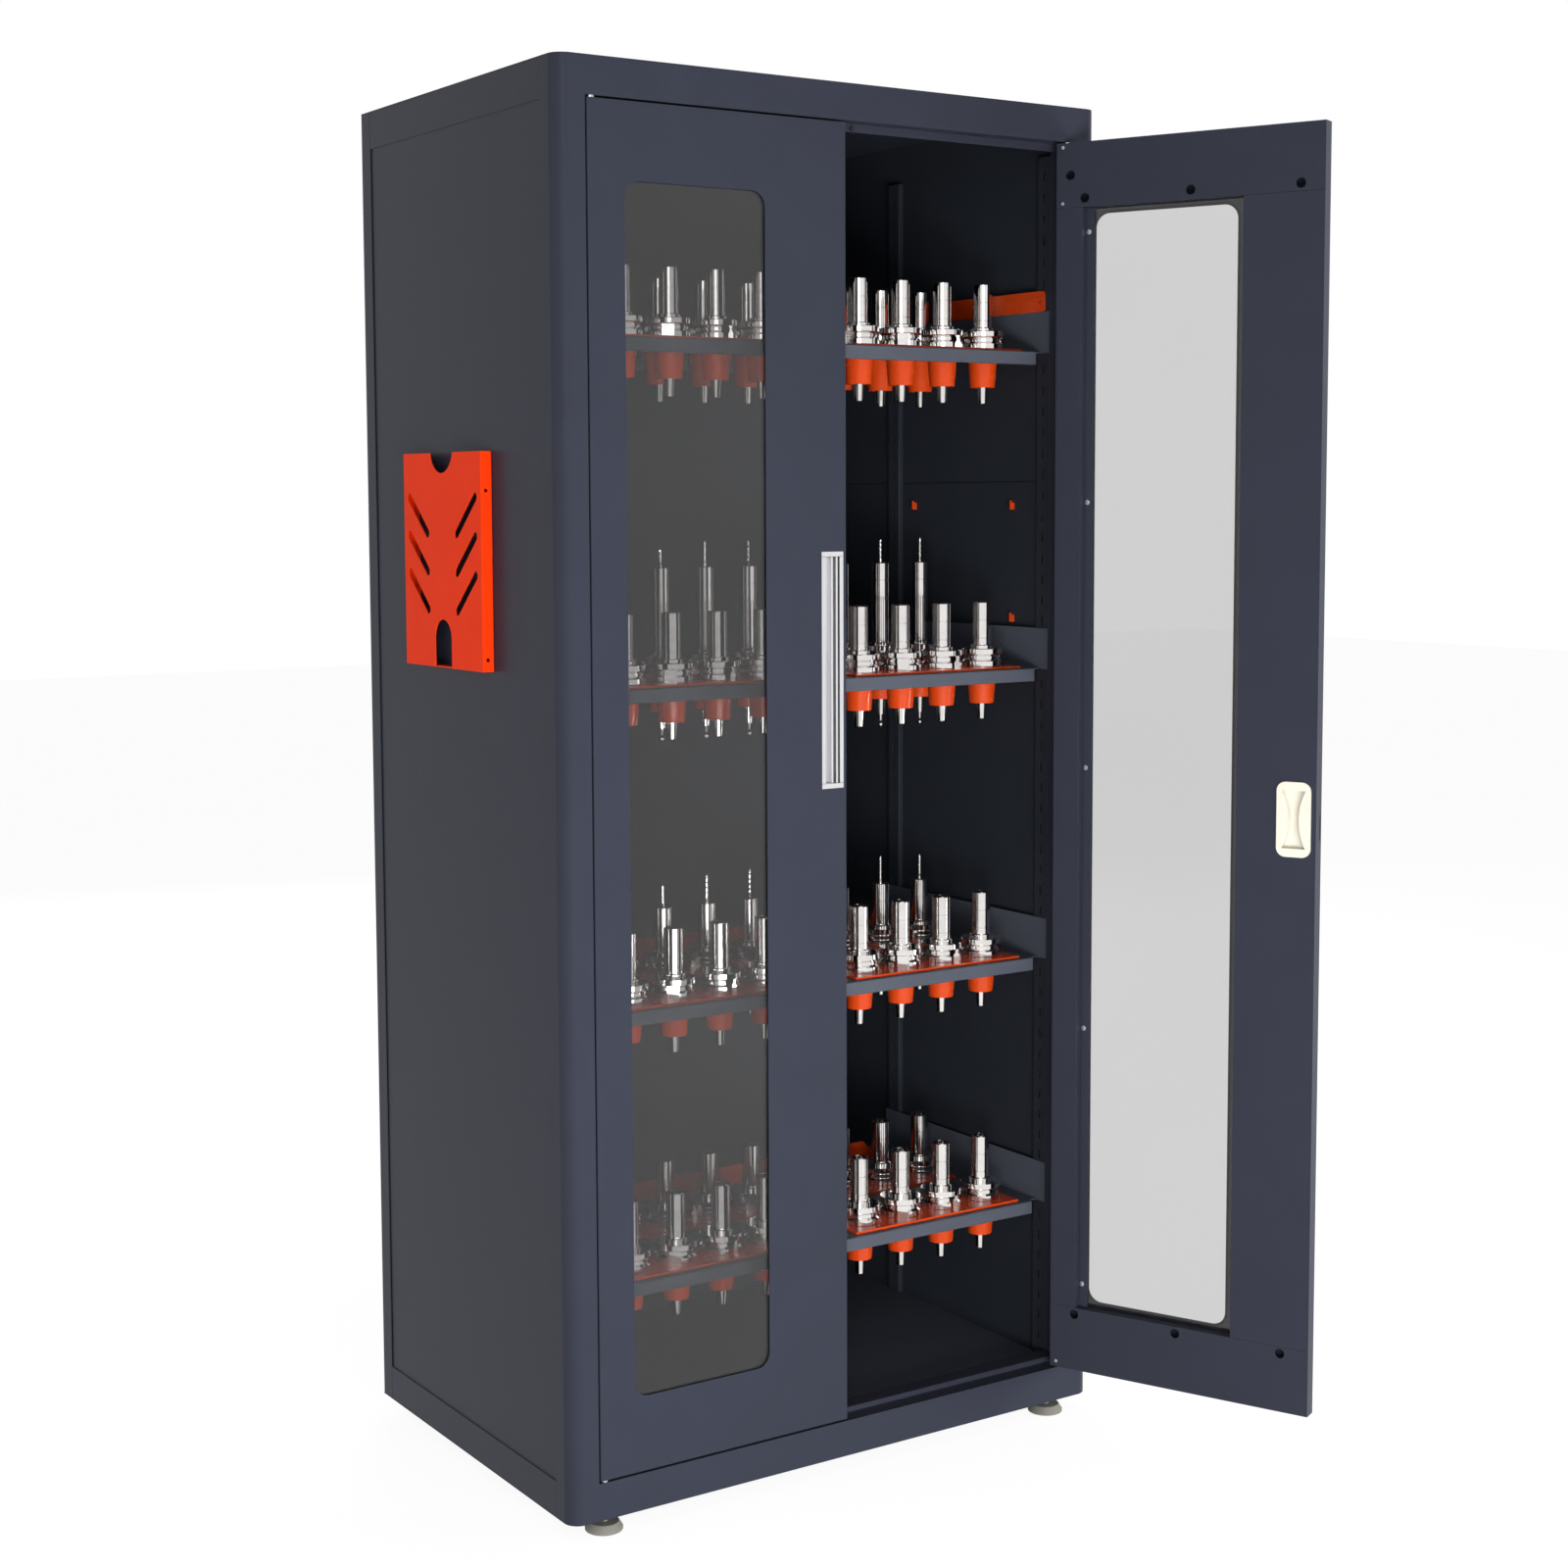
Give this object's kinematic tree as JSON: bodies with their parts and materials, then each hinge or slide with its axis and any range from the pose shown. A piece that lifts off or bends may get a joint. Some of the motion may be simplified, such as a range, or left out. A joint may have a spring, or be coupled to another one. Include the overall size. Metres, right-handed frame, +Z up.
{
  "type": "tool storage cabinet",
  "caption": "Tall free-standing cabinet with two glazed hinged doors, trays of machine tool holders, levelling feet and a document pocket on its side.",
  "frame": {"origin": "on the floor under the middle of the carcass", "axes": "+Z up, +X to the right seen from the front, the doors face -Y"},
  "size_m": [0.9508, 0.8826, 1.8],
  "materials": {
    "body_paint": "satin hammer powder coat, slate",
    "inner_paint": "satin powder coat, dark slate",
    "orange_paint": "satin powder coat, orange",
    "orange_plastic": "gloss, orange",
    "cream_plastic": "matte, cream",
    "grey_plastic": "matte, grey",
    "rubber_black": "matte, black",
    "satin_aluminium": "satin anodised",
    "zinc_steel": "zinc plated",
    "tool_chrome": "polished",
    "lock_chrome": "polished",
    "clear_glass": "faint grey toughened glass"
  },
  "bodies": {
    "cabinet": {"back_bars": "orange_plastic", "back_panel": "body_paint", "base_plate": "body_paint", "document_pocket": "orange_paint", "door_bumpers": "rubber_black", "floor_pan": "inner_paint", "foot_inserts": "zinc_steel", "front_frame": "body_paint", "inner_wall_left": "inner_paint", "inner_wall_right": "inner_paint", "pivot_pins": "zinc_steel", "pivot_washers": "zinc_steel", "pocket_screws": "zinc_steel", "rear_post_left": "body_paint", "rear_post_right": "body_paint", "roof_panel": "body_paint", "side_bar": "orange_plastic", "side_panel_left": "body_paint", "side_panel_right": "body_paint", "socket_strips_bottom": "orange_plastic", "socket_strips_lower": "orange_plastic", "socket_strips_top": "orange_plastic", "socket_strips_upper": "orange_plastic", "tool_holders_bottom": "tool_chrome", "tool_holders_lower": "tool_chrome", "tool_holders_top": "tool_chrome", "tool_holders_upper": "tool_chrome", "tray_bottom": "inner_paint", "tray_lower": "inner_paint", "tray_top": "inner_paint", "tray_upper": "inner_paint", "uprights_left": "inner_paint", "uprights_right": "inner_paint", "wall_hooks": "orange_plastic"},
    "left_door": {"left_door_bushes": "zinc_steel", "left_door_clamp_strip": "body_paint", "left_door_gasket": "rubber_black", "left_door_glass": "clear_glass", "left_door_handle": "satin_aluminium", "left_door_inner_rails": "body_paint", "left_door_inner_stiles": "body_paint", "left_door_screws": "zinc_steel", "left_door_skin": "body_paint"},
    "right_door": {"right_door_bushes": "zinc_steel", "right_door_clamp_strip": "body_paint", "right_door_gasket": "rubber_black", "right_door_glass": "clear_glass", "right_door_handle": "satin_aluminium", "right_door_inner_rails": "body_paint", "right_door_inner_stiles": "body_paint", "right_door_screws": "zinc_steel", "right_door_skin": "body_paint", "lock_barrel": "lock_chrome", "lock_cover": "cream_plastic"},
    "lock": {"lock_plug": "lock_chrome", "lock_cam": "zinc_steel"},
    "foot_front_left": {"foot_front_left": "grey_plastic"},
    "foot_front_right": {"foot_front_right": "grey_plastic"},
    "foot_rear_left": {"foot_rear_left": "grey_plastic"},
    "foot_rear_right": {"foot_rear_right": "grey_plastic"}
  },
  "joints": [
    {"name": "left_door_hinge", "type": "hinge", "parent": "cabinet", "child": "left_door", "pos_m": [-0.366, -0.2695, 0.9], "axis": [0, 0, -1], "range_deg": [0, 118]},
    {"name": "right_door_hinge", "type": "hinge", "parent": "cabinet", "child": "right_door", "pos_m": [0.366, -0.2695, 0.9], "axis": [0, 0, 1], "range_deg": [-114.5, 3.5]},
    {"name": "lock_turn", "type": "hinge", "parent": "right_door", "child": "lock", "pos_m": [0.50993, -0.57206, 0.8625], "axis": [-0.91, -0.4147, 0], "range_deg": [0, 90]},
    {"name": "foot_front_left_level", "type": "slide", "parent": "cabinet", "child": "foot_front_left", "axis": [0, 0, -1], "range_m": [0, 0.02]},
    {"name": "foot_front_right_level", "type": "slide", "parent": "cabinet", "child": "foot_front_right", "axis": [0, 0, -1], "range_m": [0, 0.02]},
    {"name": "foot_rear_left_level", "type": "slide", "parent": "cabinet", "child": "foot_rear_left", "axis": [0, 0, -1], "range_m": [0, 0.02]},
    {"name": "foot_rear_right_level", "type": "slide", "parent": "cabinet", "child": "foot_rear_right", "axis": [0, 0, -1], "range_m": [0, 0.02]}
  ]
}
